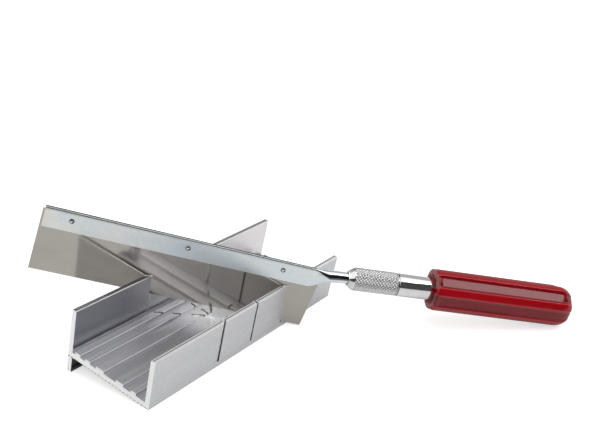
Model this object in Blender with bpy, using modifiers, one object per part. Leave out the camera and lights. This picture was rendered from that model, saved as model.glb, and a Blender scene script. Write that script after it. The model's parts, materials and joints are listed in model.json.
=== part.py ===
"""Small mitre box with a back saw lying in one of its 45 degree slots.

The box frame has X along the box, Y across it towards the wall with the lip, and Z up from the
underside of the floor. The saw frame has X along the teeth towards the tip, Z up the blade and its
origin at the bottom of the heel. The handle frame has X along the handle towards the blade and its
origin at the middle of the collar's nose. The box leans on its lip, as it does on a table, and the
saw is tilted until its butt lies on the same table. All lengths are in metres.
"""

import math

import bmesh
import bpy
from mathutils import Matrix, Vector

# Clearances and cutters
GAP = 0.0003
SHEET_GAP = 0.0002
OVERRUN = 0.002
WELD = 0.00001
FLAT_ANGLE = math.radians(0.1)

# Mitre box
BOX_LENGTH = 0.140
CHANNEL_WIDTH = 0.0444
WALL = 0.0025
BOX_HEIGHT = 0.025
FLOOR = 0.0028
LIP_DROP = 0.0081
EDGE_BREAK = 0.0003
RIDGE_HEIGHT = 0.0013
RIDGE_BREAK = 0.0002
# Middle and width of each ridge, as shares of the channel's width
RIDGE_SHARES = ((-0.343, 0.070), (-0.157, 0.101), (0.114, 0.110), (0.284, 0.068), (0.423, 0.070))
RIB_PITCH = 0.00215
RIB_GROOVE = 0.0009
RIB_DEPTH = 0.0004
SLOT_STEP = 0.0004
MITRE_ANGLE = math.radians(45)

# Saw blade
BLADE_LENGTH = 0.1353
BLADE_HEIGHT = 0.0326
BLADE_THICKNESS = 0.0004
TIP_LEAN = 0.0004
HEEL_LEAN = 0.0006
HEEL_HEIGHT = 0.027
HEEL_CORNER = 0.009
TOOTH_PITCH = 0.001
TOOTH_DEPTH = 0.0005
TOOTH_RAKE_SHARE = 0.75
HEEL_OVERHANG = 0.0101

# Folded spine and its rolled tang
SPINE_SHEET = 0.0006
SPINE_DEPTH = 0.0103
SPINE_SETBACK = 0.0005
FOLD_HEADROOM = 0.001
CHANNEL_END = 0.0055
TANG_DROP = 0.0024
BEND_BEHIND_HEEL = 0.0044
NECK_LENGTH = 0.009
TANG_ROOT_RADIUS = 0.0031
TANG_ROOT_SAG = 0.0004
TANG_RADIUS = 0.0028
TANG_END_RADIUS = 0.0026
TANG_INSET = 0.018
SEAM = 0.0006
HANDLE_RISE = math.radians(7.7)
HANDLE_SWING = math.radians(2.6)
CHEEK_ROWS = 4
FOLD_ROWS = 4
BLEND_STATIONS = 7

# Rivets, placed as shares of the blade's length from the heel
RIVET_SHARES = {"rivet_heel": 0.145, "rivet_middle": 0.50, "rivet_tip": 0.903}
RIVET_DROP = 0.0047
RIVET_RADIUS = 0.0007
RIVET_HEAD_RADIUS = 0.0012
RIVET_HEAD_HEIGHT = 0.00045

# Chuck: collar, split collet and ferrule, built up from the tang outwards
COLLAR_LENGTH = 0.0256
NOSE_BEVEL = 0.00265
NOSE_RIM = 0.0006
NOSE_LIP = 0.0006
CONE_LENGTH = 0.0032
COLLET_START_SHARE = 0.5
COLLET_WALL = 0.0006
COLLET_HEAD_STEP = 0.0004
COLLET_HEAD_LENGTH = 0.0103
COLLET_SHANK_LENGTH = 0.0157
COLLET_END_WALL = 0.0015
COLLET_SLIT = 0.0008
COLLET_SLIT_PAST_HEAD = 0.0015
THREAD_WALL = 0.0009
THREAD_PITCH = 0.001
THREAD_DEPTH = 0.0003
THREAD_UNDERCUT = 0.0008
COLLAR_WALL = 0.00065
FERRULE_LENGTH = 0.0196
FERRULE_BREAK = 0.0002
STUD_RADIUS = 0.004
STUD_LENGTH = 0.020
STUD_GROOVE = 0.0004
STUD_GROOVES = 3

# Grip, with a flared recess in its front round the ferrule's end
GRIP_LENGTH = 0.0757
GRIP_RADIUS = 0.01085
RECESS_DEPTH = 0.0015
RECESS_FLARE = 0.00165
FRONT_ROUND = 0.0013
GRIP_ROLL = math.radians(4.5)
FLUTES = 6
FLUTE_DEPTH = 0.0009
FLUTE_HALF_ANGLE = math.radians(20)
FLUTE_FLOOR_ANGLE = math.radians(14)
FLUTE_FRONT_SHARE = 0.5
FLUTE_SCOOP = 0.0018
FLUTE_BUTT_SHARE = 0.5
DOME_LENGTH = 0.0086
BUTT_RADIUS = 0.0062
DOME_RINGS = 6

TURNED_STEPS = 36
RIVET_STEPS = 14
TILT_ROUNDS = 60
STEEPEST_TILT = math.radians(40)

# Sizes worked out from those above
box_half_width = CHANNEL_WIDTH / 2 + WALL
box_lean = math.atan2(LIP_DROP, CHANNEL_WIDTH + WALL)
slot_width = BLADE_THICKNESS + 2 * GAP
slot_bottom = FLOOR + SLOT_STEP
spine_top = BLADE_HEIGHT + FOLD_HEADROOM + SPINE_SHEET
spine_bottom = spine_top - SPINE_DEPTH
cheek_offset = BLADE_THICKNESS / 2 + SHEET_GAP + SPINE_SHEET / 2
rivet_height = spine_top - RIVET_DROP
nose_hole_radius = TANG_RADIUS + GAP
collet_bore_radius = TANG_RADIUS + GAP
collet_shank_radius = collet_bore_radius + COLLET_WALL
collet_head_radius = collet_shank_radius + COLLET_HEAD_STEP
collar_bore_radius = collet_head_radius + GAP
ferrule_bore_radius = collet_shank_radius + GAP
thread_radius = ferrule_bore_radius + THREAD_WALL
collar_thread_radius = thread_radius + GAP
collar_radius = collar_thread_radius + COLLAR_WALL
recess_floor_radius = collar_radius + GAP
recess_radius = recess_floor_radius + RECESS_FLARE

# Places along the handle, from the nose back
collet_front = -(NOSE_LIP + COLLET_START_SHARE * CONE_LENGTH)
collet_shoulder = collet_front - COLLET_HEAD_LENGTH
collet_rear = collet_shoulder - COLLET_SHANK_LENGTH
ferrule_nose = collet_shoulder - GAP
ferrule_front = -COLLAR_LENGTH - GAP
ferrule_rear = ferrule_front - FERRULE_LENGTH
stud_rear = ferrule_rear - STUD_LENGTH
recess_floor = ferrule_rear - GAP
grip_front = ferrule_rear + RECESS_DEPTH
grip_rear = grip_front - GRIP_LENGTH

# Colours: base colour, metallic, roughness
FINISHES = {
    "extruded_aluminium": ((0.72, 0.73, 0.76, 1.0), 1.0, 0.38),
    "blade_steel": ((0.60, 0.58, 0.54, 1.0), 1.0, 0.22),
    "zinc_plate": ((0.80, 0.85, 0.87, 1.0), 1.0, 0.30),
    "rivet_steel": ((0.55, 0.56, 0.57, 1.0), 1.0, 0.30),
    "knurled_aluminium": ((0.82, 0.82, 0.82, 1.0), 1.0, 0.35),
    "polished_aluminium": ((0.90, 0.90, 0.91, 1.0), 1.0, 0.10),
    "collet_steel": ((0.50, 0.50, 0.51, 1.0), 1.0, 0.30),
    "red_plastic": ((0.42, 0.01, 0.02, 1.0), 0.0, 0.12),
}


def clear_scene():
    for obj in list(bpy.data.objects):
        bpy.data.objects.remove(obj, do_unlink=True)


def new_collection(name):
    collection = bpy.data.collections.new(name)
    bpy.context.scene.collection.children.link(collection)
    return collection


def material(name):
    colour, metallic, roughness = FINISHES[name]
    mat = bpy.data.materials.new(name)
    mat.use_nodes = True
    shader = mat.node_tree.nodes["Principled BSDF"]
    shader.inputs["Base Color"].default_value = colour
    shader.inputs["Metallic"].default_value = metallic
    shader.inputs["Roughness"].default_value = roughness
    return mat


def frame_empty(name, matrix, parent, collection):
    empty = bpy.data.objects.new(name, None)
    collection.objects.link(empty)
    empty.parent = parent
    empty.matrix_local = matrix
    return empty


def add_piece(name, mesh, parent, collection, finish=None, matrix=None):
    """Link a mesh as one named piece, placed in its parent's frame."""
    obj = bpy.data.objects.new(name, mesh)
    collection.objects.link(obj)
    obj.parent = parent
    obj.matrix_local = matrix or Matrix.Identity(4)
    if finish and not mesh.materials:
        mesh.materials.append(finish)
    return obj


def smooth(mesh, angle=math.radians(35)):
    mesh.shade_smooth()
    mesh.set_sharp_from_angle(angle=angle)


def outline_mesh(name, points, thickness, matrix):
    """Fill a flat outline, give it thickness and weld it to one closed mesh."""
    curve = bpy.data.curves.new(name, "CURVE")
    curve.dimensions = "2D"
    curve.fill_mode = "BOTH"
    curve.extrude = thickness / 2
    spline = curve.splines.new("POLY")
    spline.points.add(len(points) - 1)
    for place, (across, up) in zip(spline.points, points):
        place.co = (across, up, 0, 1)
    spline.use_cyclic_u = True
    guide = bpy.data.objects.new(name + "_outline", curve)
    bpy.context.scene.collection.objects.link(guide)
    graph = bpy.context.evaluated_depsgraph_get()
    mesh = bpy.data.meshes.new_from_object(guide.evaluated_get(graph))
    bpy.data.objects.remove(guide, do_unlink=True)
    body = bmesh.new()
    body.from_mesh(mesh)
    bmesh.ops.remove_doubles(body, verts=body.verts, dist=WELD)
    for side in (-1, 1):
        cap = [face for face in body.faces if all(vert.co.z * side > 0 for vert in face.verts)]
        bmesh.ops.dissolve_faces(body, faces=cap)
    bmesh.ops.transform(body, matrix=matrix, verts=body.verts)
    bmesh.ops.recalc_face_normals(body, faces=body.faces)
    body.to_mesh(mesh)
    body.free()
    return mesh


def profile_mesh(name, profile, closed):
    """Edges of a turned profile: (place along the axis, radius), down the outer side."""
    mesh = bpy.data.meshes.new(name)
    places = [(radius, 0, along) for along, radius in profile]
    edges = [(i, i + 1) for i in range(len(places) - 1)]
    if closed:
        edges.append((len(places) - 1, 0))
    mesh.from_pydata(places, edges, [])
    return mesh


def turn(obj, steps):
    screw = obj.modifiers.new("turned", "SCREW")
    screw.axis = "Z"
    screw.angle = math.tau
    screw.steps = steps
    screw.render_steps = steps
    screw.use_merge_vertices = True
    screw.merge_threshold = WELD
    screw.use_smooth_shade = True


def along_handle():
    """Turn a piece's own Z axis onto the handle's X axis."""
    return Matrix.Rotation(math.pi / 2, 4, "Y")


def cut(obj, cutter):
    boolean = obj.modifiers.new("cut_" + cutter.name, "BOOLEAN")
    boolean.operation = "DIFFERENCE"
    boolean.solver = "EXACT"
    boolean.object = cutter


def add_cutter(name, mesh, parent, collection, matrix):
    cutter = add_piece(name, mesh, parent, collection, matrix=matrix)
    cutter.hide_render = True
    cutter.display_type = "WIRE"
    return cutter


def block_mesh(name, size):
    body = bmesh.new()
    bmesh.ops.create_cube(body, size=1)
    bmesh.ops.scale(body, vec=size, verts=body.verts)
    mesh = bpy.data.meshes.new(name)
    body.to_mesh(mesh)
    body.free()
    return mesh


def rod_mesh(name, radius, length, segments):
    body = bmesh.new()
    bmesh.ops.create_cone(
        body, cap_ends=True, segments=segments, radius1=radius, radius2=radius, depth=length
    )
    mesh = bpy.data.meshes.new(name)
    body.to_mesh(mesh)
    body.free()
    return mesh


def lofted_mesh(name, rings):
    """Join rings of equal count into a closed skin with a flat cap at each end."""
    body = bmesh.new()
    rows = [[body.verts.new(place) for place in ring] for ring in rings]
    count = len(rings[0])
    for near, far in zip(rows, rows[1:]):
        for i in range(count):
            j = (i + 1) % count
            body.faces.new((near[i], near[j], far[j], far[i]))
    body.faces.new(rows[0])
    body.faces.new(rows[-1])
    bmesh.ops.recalc_face_normals(body, faces=body.faces)
    mesh = bpy.data.meshes.new(name)
    body.to_mesh(mesh)
    body.free()
    return mesh


def ridge_points():
    """Floor of the channel from the plain wall to the lipped wall, with its ridges."""
    points = [(-CHANNEL_WIDTH / 2, FLOOR)]
    top = FLOOR + RIDGE_HEIGHT
    for middle_share, width_share in RIDGE_SHARES:
        low = (middle_share - width_share / 2) * CHANNEL_WIDTH
        high = (middle_share + width_share / 2) * CHANNEL_WIDTH
        points += [(low, FLOOR), (low, top - RIDGE_BREAK), (low + RIDGE_BREAK, top)]
        points += [(high - RIDGE_BREAK, top), (high, top - RIDGE_BREAK), (high, FLOOR)]
    points.append((CHANNEL_WIDTH / 2, FLOOR))
    return points


def rib_points():
    """Underside of the floor from the lip back to the plain wall, with its fine grooves."""
    count = int((CHANNEL_WIDTH + WALL - RIB_PITCH) / RIB_PITCH)
    middle = -WALL / 2
    points = []
    for i in range(count):
        centre = middle + ((count - 1) / 2 - i) * RIB_PITCH
        points += [(centre + RIB_GROOVE / 2, 0), (centre + RIB_GROOVE / 4, RIB_DEPTH)]
        points += [(centre - RIB_GROOVE / 4, RIB_DEPTH), (centre - RIB_GROOVE / 2, 0)]
    return points


def wall_top(outer, inner):
    """Top of a wall from one face to the other, with both edges broken."""
    step = math.copysign(EDGE_BREAK, inner - outer)
    return [
        (outer, BOX_HEIGHT - EDGE_BREAK),
        (outer + step, BOX_HEIGHT),
        (inner - step, BOX_HEIGHT),
        (inner, BOX_HEIGHT - EDGE_BREAK),
    ]


def box_outline():
    half = box_half_width
    points = [(-half, 0)]
    points += wall_top(-half, -CHANNEL_WIDTH / 2)
    points += ridge_points()
    points += wall_top(CHANNEL_WIDTH / 2, half)
    points += [(half, EDGE_BREAK - LIP_DROP), (half - EDGE_BREAK, -LIP_DROP)]
    points += [(CHANNEL_WIDTH / 2, -LIP_DROP), (CHANNEL_WIDTH / 2, 0)]
    points += rib_points()
    return points


def make_box(parts, cutters, box_frame):
    across_to_x = Matrix(((0, 0, 1, 0), (1, 0, 0, 0), (0, 1, 0, 0), (0, 0, 0, 1)))
    mesh = outline_mesh("mitre_box", box_outline(), BOX_LENGTH, across_to_x)
    centre = Matrix.Translation((BOX_LENGTH / 2, 0, 0))
    box = add_piece("mitre_box", mesh, box_frame, parts, material("extruded_aluminium"), centre)
    reach = 2 * (2 * box_half_width / math.sin(MITRE_ANGLE))
    height = BOX_HEIGHT - slot_bottom + OVERRUN
    middle = Vector((BOX_LENGTH / 2, 0, slot_bottom + height / 2))
    turns = {"square_slot": 0, "left_slot": MITRE_ANGLE, "right_slot": -MITRE_ANGLE}
    for name, angle in turns.items():
        blade_room = block_mesh(name, (slot_width, reach, height))
        place = Matrix.Translation(middle) @ Matrix.Rotation(angle, 4, "Z")
        cut(box, add_cutter(name, blade_room, box_frame, cutters, place))
    return box


def handle_in_saw():
    """Handle frame in the saw frame: bent up and to one side where the tang leaves the spine."""
    bend = Vector((-BEND_BEHIND_HEEL, 0, spine_top - TANG_DROP))
    swing = Matrix.Rotation(-HANDLE_SWING, 4, "Z")
    rise = Matrix.Rotation(HANDLE_RISE, 4, "Y")
    return Matrix.Translation(bend) @ swing @ rise @ Matrix.Translation((-NECK_LENGTH, 0, 0))


def saw_in_box(tilt):
    """Saw frame in the box frame: teeth over the outer edge of the plain wall's slot, tip up."""
    wall_run = box_half_width / math.tan(MITRE_ANGLE)
    contact = Vector((BOX_LENGTH / 2 + wall_run, -box_half_width, slot_bottom + GAP))
    turn_to_slot = Matrix.Rotation(math.pi / 2 + MITRE_ANGLE, 4, "Z")
    tip_up = Matrix.Rotation(-tilt, 4, "Y")
    heel = Matrix.Translation((-HEEL_OVERHANG, 0, 0))
    return Matrix.Translation(contact) @ turn_to_slot @ tip_up @ heel


def lean():
    return Matrix.Rotation(box_lean, 4, "X")


def butt_height(tilt):
    """Height of the grip's lowest point over the table for a given tilt of the saw."""
    table = (lean() @ Vector((0, -box_half_width, 0))).z
    matrix = lean() @ saw_in_box(tilt) @ handle_in_saw()
    axis = matrix.to_3x3() @ Vector((1, 0, 0))
    across = math.sqrt(1 - axis.z * axis.z)
    heights = [(matrix @ Vector((x, 0, 0))).z - radius * across for x, radius in dome_profile()]
    return min(heights) - table


def resting_tilt():
    """Tilt at which the butt just meets the table, found by halving the range."""
    low, high = 0.0, STEEPEST_TILT
    for _ in range(TILT_ROUNDS):
        middle = (low + high) / 2
        if butt_height(middle) > 0:
            low = middle
        else:
            high = middle
    return low


def blade_outline():
    count = round(BLADE_LENGTH / TOOTH_PITCH)
    pitch = BLADE_LENGTH / count
    points = []
    for i in range(count):
        points.append((i * pitch, TOOTH_DEPTH))
        points.append(((i + TOOTH_RAKE_SHARE) * pitch, 0))
    points += [(BLADE_LENGTH, TOOTH_DEPTH), (BLADE_LENGTH + TIP_LEAN, BLADE_HEIGHT)]
    points += [(HEEL_CORNER, BLADE_HEIGHT), (-HEEL_LEAN, HEEL_HEIGHT)]
    return points


def make_rivet_holes(saw_frame, cutters):
    holes = []
    length = 2 * (cheek_offset + SPINE_SHEET + OVERRUN)
    for name, share in RIVET_SHARES.items():
        mesh = rod_mesh(name + "_hole", RIVET_RADIUS + SHEET_GAP, length, RIVET_STEPS)
        place = Matrix.Translation((share * BLADE_LENGTH, 0, rivet_height))
        place = place @ Matrix.Rotation(math.pi / 2, 4, "X")
        holes.append(add_cutter(name + "_hole", mesh, saw_frame, cutters, place))
    return holes


def make_blade(parts, saw_frame, holes):
    up_to_z = Matrix(((1, 0, 0, 0), (0, 0, -1, 0), (0, 1, 0, 0), (0, 0, 0, 1)))
    mesh = outline_mesh("saw_blade", blade_outline(), BLADE_THICKNESS, up_to_z)
    blade = add_piece("saw_blade", mesh, saw_frame, parts, material("blade_steel"))
    for hole in holes:
        cut(blade, hole)


def channel_section(x):
    """Middle of the folded sheet at one place along the blade, from cheek to cheek."""
    straight = spine_top - SPINE_SHEET / 2 - cheek_offset
    side = []
    for i in range(CHEEK_ROWS):
        side.append(Vector((x, -cheek_offset, spine_bottom + (straight - spine_bottom) * i / CHEEK_ROWS)))
    fold = []
    for i in range(FOLD_ROWS + 1):
        angle = math.pi * i / FOLD_ROWS
        fold.append(Vector((x, -cheek_offset * math.cos(angle), straight + cheek_offset * math.sin(angle))))
    mirrored = [Vector((p.x, -p.y, p.z)) for p in reversed(side)]
    return side + fold + mirrored


def tang_radius(x):
    """Outer radius of the rolled tang at a place in the handle frame."""
    if x > 0:
        return TANG_RADIUS + (TANG_ROOT_RADIUS - TANG_RADIUS) * min(1, x / NECK_LENGTH)
    return TANG_RADIUS + (TANG_END_RADIUS - TANG_RADIUS) * min(1, -x / TANG_INSET)


def tang_section(x, handle):
    """Middle of the rolled sheet at one place along the handle, open in a seam underneath."""
    radius = tang_radius(x) - SPINE_SHEET / 2
    sag = TANG_ROOT_SAG * min(1, max(0, x) / NECK_LENGTH) ** 2
    seam = math.asin(SEAM / radius)
    columns = 2 * CHEEK_ROWS + FOLD_ROWS
    points = []
    for i in range(columns + 1):
        angle = seam + (math.tau - 2 * seam) * i / columns
        out = -radius * math.sin(angle)
        points.append(handle @ Vector((x, out, -radius * math.cos(angle) - sag)))
    return points


def spine_stations():
    """Rows of the spine's sheet from the tip to the end of the tang."""
    handle = handle_in_saw()
    rows = [channel_section(BLADE_LENGTH - SPINE_SETBACK), channel_section(CHANNEL_END)]
    for i in range(1, BLEND_STATIONS):
        share = i / BLEND_STATIONS
        x = CHANNEL_END - share * (CHANNEL_END + BEND_BEHIND_HEEL)
        along = NECK_LENGTH + (x + BEND_BEHIND_HEEL) / math.cos(HANDLE_RISE)
        rise = share * share * (3 - 2 * share)
        bulge = rise * rise
        row = []
        for flat, rolled in zip(channel_section(x), tang_section(along, handle)):
            place = flat.lerp(rolled, rise)
            place.y = flat.y + (rolled.y - flat.y) * bulge
            row.append(place)
        rows.append(row)
    for along in (NECK_LENGTH, NECK_LENGTH / 2, 0, -TANG_INSET):
        rows.append(tang_section(along, handle))
    return rows


def make_spine(parts, saw_frame, holes):
    body = bmesh.new()
    rows = [[body.verts.new(place) for place in row] for row in spine_stations()]
    for near, far in zip(rows, rows[1:]):
        for i in range(len(near) - 1):
            body.faces.new((near[i], near[i + 1], far[i + 1], far[i]))
    body.normal_update()
    bmesh.ops.dissolve_limit(body, angle_limit=FLAT_ANGLE, verts=body.verts, edges=body.edges)
    mesh = bpy.data.meshes.new("blade_spine")
    body.to_mesh(mesh)
    body.free()
    smooth(mesh)
    spine = add_piece("blade_spine", mesh, saw_frame, parts, material("zinc_plate"))
    sheet = spine.modifiers.new("sheet", "SOLIDIFY")
    sheet.thickness = SPINE_SHEET
    sheet.offset = 0
    sheet.use_even_offset = True
    for hole in holes:
        cut(spine, hole)


def rivet_profile():
    under = cheek_offset + SPINE_SHEET / 2 + SHEET_GAP
    dome = []
    for share in (0, 0.35, 0.7, 1):
        angle = share * math.pi / 2
        rise = RIVET_HEAD_HEIGHT * math.cos(angle)
        dome.append((under + rise, RIVET_HEAD_RADIUS * math.sin(angle)))
    half = dome + [(under, RIVET_RADIUS)]
    return half + [(-along, radius) for along, radius in reversed(half)]


def make_rivets(parts, saw_frame):
    mesh = profile_mesh("rivet", rivet_profile(), closed=False)
    steel = material("rivet_steel")
    for name, share in RIVET_SHARES.items():
        place = Matrix.Translation((share * BLADE_LENGTH, 0, rivet_height))
        place = place @ Matrix.Rotation(math.pi / 2, 4, "X")
        turn(add_piece(name, mesh, saw_frame, parts, steel, place), RIVET_STEPS)


def collar_profile():
    """Closed outline: outer side from the nose back, then the bore from the rear forward."""
    rear = -COLLAR_LENGTH
    return [
        (0, nose_hole_radius + NOSE_RIM),
        (-NOSE_BEVEL, collar_radius),
        (rear + FERRULE_BREAK, collar_radius),
        (rear, collar_radius - FERRULE_BREAK),
        (rear, collar_thread_radius),
        (collet_shoulder, collar_thread_radius),
        (collet_shoulder, collar_bore_radius),
        (-NOSE_LIP - CONE_LENGTH, collar_bore_radius),
        (-NOSE_LIP, nose_hole_radius),
        (0, nose_hole_radius),
    ]


def cone_radius(x):
    """Inner radius of the collar's cone at a place along the handle."""
    share = (-x - NOSE_LIP) / CONE_LENGTH
    return nose_hole_radius + (collar_bore_radius - nose_hole_radius) * share


def collet_profile():
    bore_end = collet_rear + COLLET_END_WALL
    return [
        (bore_end, 0),
        (bore_end, collet_bore_radius),
        (collet_front, collet_bore_radius),
        (collet_front, cone_radius(collet_front) - GAP),
        (-NOSE_LIP - CONE_LENGTH, collet_head_radius),
        (collet_shoulder, collet_head_radius),
        (collet_shoulder, collet_shank_radius),
        (collet_rear, collet_shank_radius),
        (collet_rear, 0),
    ]


def thread_points():
    """Crests and roots from the ferrule's nose back to the undercut at its shoulder."""
    start = ferrule_nose
    end = ferrule_front + THREAD_UNDERCUT
    turns = max(1, int((start - end) / THREAD_PITCH))
    root = thread_radius - THREAD_DEPTH
    points = [(start, root)]
    for i in range(turns):
        points.append((start - (i + 0.5) * THREAD_PITCH, thread_radius))
        points.append((start - (i + 1) * THREAD_PITCH, root))
    points.append((ferrule_front, root))
    return points


def stud_points():
    points = [(ferrule_rear, STUD_RADIUS)]
    for i in range(STUD_GROOVES):
        start = ferrule_rear - STUD_LENGTH * (i + 1) / (STUD_GROOVES + 1)
        points += [(start, STUD_RADIUS), (start - STUD_GROOVE, STUD_RADIUS - STUD_GROOVE)]
        points.append((start - 2 * STUD_GROOVE, STUD_RADIUS))
    points += [(stud_rear + STUD_GROOVE, STUD_RADIUS), (stud_rear, STUD_RADIUS - STUD_GROOVE)]
    return points


def ferrule_profile():
    bore_end = collet_rear - GAP
    points = [(bore_end, 0), (bore_end, ferrule_bore_radius), (ferrule_nose, ferrule_bore_radius)]
    points += thread_points()
    points += [(ferrule_front, collar_radius - FERRULE_BREAK)]
    points += [(ferrule_front - FERRULE_BREAK, collar_radius)]
    points += [(ferrule_rear + FERRULE_BREAK, collar_radius)]
    points += [(ferrule_rear, collar_radius - FERRULE_BREAK)]
    points += stud_points()
    points.append((stud_rear, 0))
    return points


def make_chuck(parts, cutters, handle_frame):
    collar_mesh = profile_mesh("chuck_collar", collar_profile(), closed=True)
    knurled = material("knurled_aluminium")
    collar = add_piece("chuck_collar", collar_mesh, handle_frame, parts, knurled, along_handle())
    turn(collar, TURNED_STEPS)
    collet_mesh = profile_mesh("collet", collet_profile(), closed=False)
    collet = add_piece("collet", collet_mesh, handle_frame, parts, material("collet_steel"), along_handle())
    turn(collet, TURNED_STEPS)
    slit_end = collet_shoulder - COLLET_SLIT_PAST_HEAD
    length = collet_front - slit_end + OVERRUN
    middle = Matrix.Translation((slit_end + length / 2, 0, 0))
    for name, angle in {"upright_slit": 0, "level_slit": math.pi / 2}.items():
        slit = block_mesh(name, (length, COLLET_SLIT, 2 * (collet_head_radius + OVERRUN)))
        place = middle @ Matrix.Rotation(angle + math.pi / 4, 4, "X")
        cut(collet, add_cutter(name, slit, handle_frame, cutters, place))
    ferrule_mesh = profile_mesh("ferrule", ferrule_profile(), closed=False)
    polished = material("polished_aluminium")
    ferrule = add_piece("ferrule", ferrule_mesh, handle_frame, parts, polished, along_handle())
    turn(ferrule, TURNED_STEPS)


def dome_profile():
    """Outer profile of the grip from the end of its straight part round the butt."""
    start = grip_rear + DOME_LENGTH
    points = []
    for i in range(DOME_RINGS + 1):
        angle = math.pi / 2 * i / DOME_RINGS
        x = start - DOME_LENGTH * math.sin(angle)
        points.append((x, BUTT_RADIUS + (GRIP_RADIUS - BUTT_RADIUS) * math.cos(angle)))
    return points


def flute_columns():
    """Angles round the grip and whether each lies on a flute's floor, flute by flute."""
    sector = math.tau / FLUTES
    ridge = sector - 2 * FLUTE_HALF_ANGLE
    floor = FLUTE_FLOOR_ANGLE
    columns = []
    for i in range(FLUTES):
        centre = GRIP_ROLL + (i + 0.5) * sector
        columns.append((centre - FLUTE_HALF_ANGLE, 0, False))
        for angle in (-floor, -floor / 3, floor / 3, floor):
            columns.append((centre + angle, angle, True))
        columns.append((centre + FLUTE_HALF_ANGLE, 0, False))
        for share in (1 / 3, 2 / 3):
            columns.append((centre + FLUTE_HALF_ANGLE + ridge * share, 0, False))
    return columns


def grip_ring(x, radius, depth_share):
    """One ring of the grip: round where the share is 0, fully fluted where it is 1."""
    ring = []
    for angle, from_floor, on_floor in flute_columns():
        reach = 1.0
        if on_floor:
            floor = (GRIP_RADIUS - FLUTE_DEPTH) / math.cos(from_floor) / GRIP_RADIUS
            reach = 1 + (floor - 1) * depth_share
        out = radius * reach
        ring.append((x, out * math.sin(angle), out * math.cos(angle)))
    return ring


def make_grip(parts, handle_frame):
    bore = STUD_RADIUS + GAP
    rings = [grip_ring(stud_rear - GAP, bore, 0), grip_ring(recess_floor, bore, 0)]
    rings.append(grip_ring(recess_floor, recess_floor_radius, 0))
    rings.append(grip_ring(grip_front, recess_radius, 0))
    for share in (0.3, 0.6, 1):
        angle = share * math.pi / 2
        x = grip_front - FRONT_ROUND * (1 - math.cos(angle))
        radius = recess_radius + (GRIP_RADIUS - recess_radius) * math.sin(angle)
        rings.append(grip_ring(x, radius, share * FLUTE_FRONT_SHARE))
    scoop = grip_front - FRONT_ROUND
    for share in (0.3, 0.65, 1):
        depth = FLUTE_FRONT_SHARE + (1 - FLUTE_FRONT_SHARE) * math.sin(share * math.pi / 2)
        rings.append(grip_ring(scoop - share * FLUTE_SCOOP, GRIP_RADIUS, depth))
    for i, (x, radius) in enumerate(dome_profile()):
        rings.append(grip_ring(x, radius, 1 - (1 - FLUTE_BUTT_SHARE) * i / DOME_RINGS))
    mesh = lofted_mesh("handle_grip", rings)
    smooth(mesh)
    add_piece("handle_grip", mesh, handle_frame, parts, material("red_plastic"))


def rest_on_table(root, parts):
    """Move everything so that the origin is under the middle of the whole, on the table."""
    bpy.context.view_layer.update()
    graph = bpy.context.evaluated_depsgraph_get()
    corners = []
    for obj in parts.objects:
        if obj.type == "MESH":
            shown = obj.evaluated_get(graph)
            corners += [obj.matrix_world @ vert.co for vert in shown.data.vertices]
    low = Vector([min(corner[i] for corner in corners) for i in range(3)])
    high = Vector([max(corner[i] for corner in corners) for i in range(3)])
    middle = (low + high) / 2
    root.location = (-middle.x, -middle.y, -low.z)
    bpy.context.view_layer.update()


def build():
    clear_scene()
    parts = new_collection("mitre_box_with_saw")
    cutters = new_collection("cutters")
    root = frame_empty("table_frame", Matrix.Identity(4), None, parts)
    box_frame = frame_empty("box_frame", lean(), root, parts)
    saw_frame = frame_empty("saw_frame", saw_in_box(resting_tilt()), box_frame, parts)
    handle_frame = frame_empty("handle_frame", handle_in_saw(), saw_frame, parts)
    make_box(parts, cutters, box_frame)
    holes = make_rivet_holes(saw_frame, cutters)
    make_blade(parts, saw_frame, holes)
    make_spine(parts, saw_frame, holes)
    make_rivets(parts, saw_frame)
    make_chuck(parts, cutters, handle_frame)
    make_grip(parts, handle_frame)
    rest_on_table(root, parts)


build()
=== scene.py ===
"""Looks of a small mitre box with its back saw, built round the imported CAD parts.

Three frames are used beside the shared one. The box frame has X along the box, Y across it and Z up
from the underside of its floor. The saw frame has X along the teeth towards the tip, Z up the blade
and its origin at the bottom of the heel. The handle frame has X along the handle towards the blade
and its origin at the middle of the collar's nose. Lengths are in metres, but in the node patterns
of the materials and for the size of a burr they are in millimetres.
"""

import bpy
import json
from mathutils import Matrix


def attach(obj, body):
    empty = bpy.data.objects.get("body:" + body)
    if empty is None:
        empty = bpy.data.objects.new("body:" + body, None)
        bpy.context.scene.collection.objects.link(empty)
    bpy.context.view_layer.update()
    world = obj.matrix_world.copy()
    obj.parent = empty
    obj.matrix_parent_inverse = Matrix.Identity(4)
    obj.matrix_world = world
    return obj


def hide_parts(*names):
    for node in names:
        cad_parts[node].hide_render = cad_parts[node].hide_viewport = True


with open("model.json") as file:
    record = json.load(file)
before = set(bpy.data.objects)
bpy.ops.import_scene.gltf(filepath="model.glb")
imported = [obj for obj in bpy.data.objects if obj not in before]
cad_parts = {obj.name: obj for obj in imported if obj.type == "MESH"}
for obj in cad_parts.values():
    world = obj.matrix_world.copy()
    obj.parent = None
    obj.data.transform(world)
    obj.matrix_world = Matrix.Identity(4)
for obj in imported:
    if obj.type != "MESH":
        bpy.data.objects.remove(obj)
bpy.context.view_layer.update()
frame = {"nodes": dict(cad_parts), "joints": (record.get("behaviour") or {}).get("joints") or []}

import json
import math
import random

import bmesh
import bpy
from mathutils import Matrix, Vector

MM = 0.001

# Frames shared with the CAD parts
BOX_LEAN = math.radians(9.799)
BOX_PLACE = Vector((-0.100261, 0.041925, 0.004204))
SLOT_TURN = math.radians(135)
SAW_TILT = math.radians(9.4829)
HEEL_PLACE = Vector((0.001484, 0.010331, 0.000610))
HANDLE_SWING = math.radians(2.6)
HANDLE_RISE = math.radians(7.7)

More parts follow.
